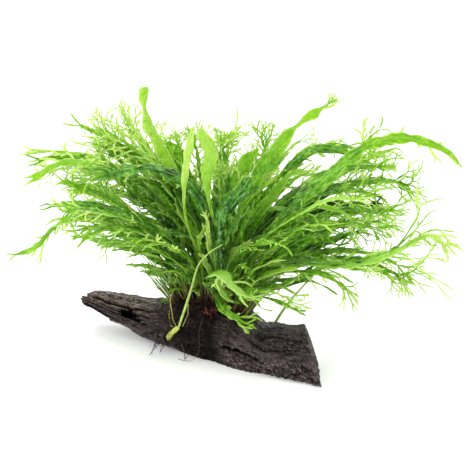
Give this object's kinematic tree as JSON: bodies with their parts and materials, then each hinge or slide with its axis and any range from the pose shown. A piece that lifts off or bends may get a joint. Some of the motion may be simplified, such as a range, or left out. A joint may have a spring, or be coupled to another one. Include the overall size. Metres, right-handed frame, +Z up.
{
  "type": "java fern on driftwood",
  "caption": "Crested java fern with arching, finely forked green fronds, growing from a creeping rhizome on a dark piece of weathered driftwood that rests on its flat underside.",
  "frame": {"origin": "on the wood's flat resting face, below the crown of the plant", "axes": "+X to the right across the plant as it is seen from the front, +Y away from the viewer, +Z up"},
  "size_m": [0.308, 0.2036, 0.2018],
  "materials": {
    "wood": "wet, weathered, near-black bark-less wood",
    "rhizome": "matt brown-green stem",
    "young_green": "smooth pale yellow-green shoot",
    "root": "wiry brown root",
    "frond_a": "wet fresh-green leaf",
    "frond_b": "wet bright-green leaf",
    "frond_c": "wet dark-green leaf"
  },
  "bodies": {
    "root": {"driftwood": "wood", "rhizome": "rhizome", "side_shoot": "young_green", "young_stem": "young_green", "root_1": "root", "root_2": "root", "root_3": "root", "root_4": "root", "root_5": "root", "root_6": "root", "frond_low_left_front": "frond_a", "frond_narrow_bright": "frond_b", "frond_light_leaf_front": "frond_c", "frond_hanging_front": "frond_a", "frond_wide_bright": "frond_b", "frond_bluish_front": "frond_c", "frond_leaf_to_viewer": "frond_a", "frond_blade_front_right": "frond_b", "frond_lace_front_right": "frond_c", "frond_leaf_low_left": "frond_a", "frond_lace_low_left": "frond_b", "frond_inner_left": "frond_c", "frond_dark_arch": "frond_a", "frond_tall_right": "frond_b", "frond_big_arch_right": "frond_c", "frond_lace_mid_front_right": "frond_a", "frond_long_low_right": "frond_b", "frond_lowest_right": "frond_c", "frond_lace_below_left": "frond_a", "frond_long_left": "frond_b", "frond_bright_left": "frond_c", "frond_lace_mid_left": "frond_a", "frond_tall_left": "frond_b", "frond_crest_top": "frond_c", "frond_inner_right": "frond_a", "frond_lace_mid_right": "frond_b", "frond_lace_low_right": "frond_c", "frond_wavy_left": "frond_a", "frond_fill_low_left": "frond_b", "frond_hook_left": "frond_c", "frond_crest_up_left": "frond_a", "frond_oval_left": "frond_b", "frond_leaf_centre": "frond_c", "frond_crest_centre": "frond_a", "frond_dark_arch_right": "frond_b", "frond_mid_right_far": "frond_c", "frond_dense_lace_right": "frond_a", "frond_dark_blade_right": "frond_b", "frond_low_left_back": "frond_c", "frond_mid_left_lace_back": "frond_a", "frond_upper_left_back": "frond_b", "frond_tall_left_back": "frond_c", "frond_mid_left_back": "frond_a", "frond_lace_top_back": "frond_b", "frond_mid_right_back": "frond_c", "frond_tall_right_back": "frond_a", "frond_arch_right_back": "frond_b", "frond_mid_right_lace_back": "frond_c", "frond_low_right_back": "frond_a", "frond_low_stalk_back": "frond_b"}
  },
  "joints": []
}
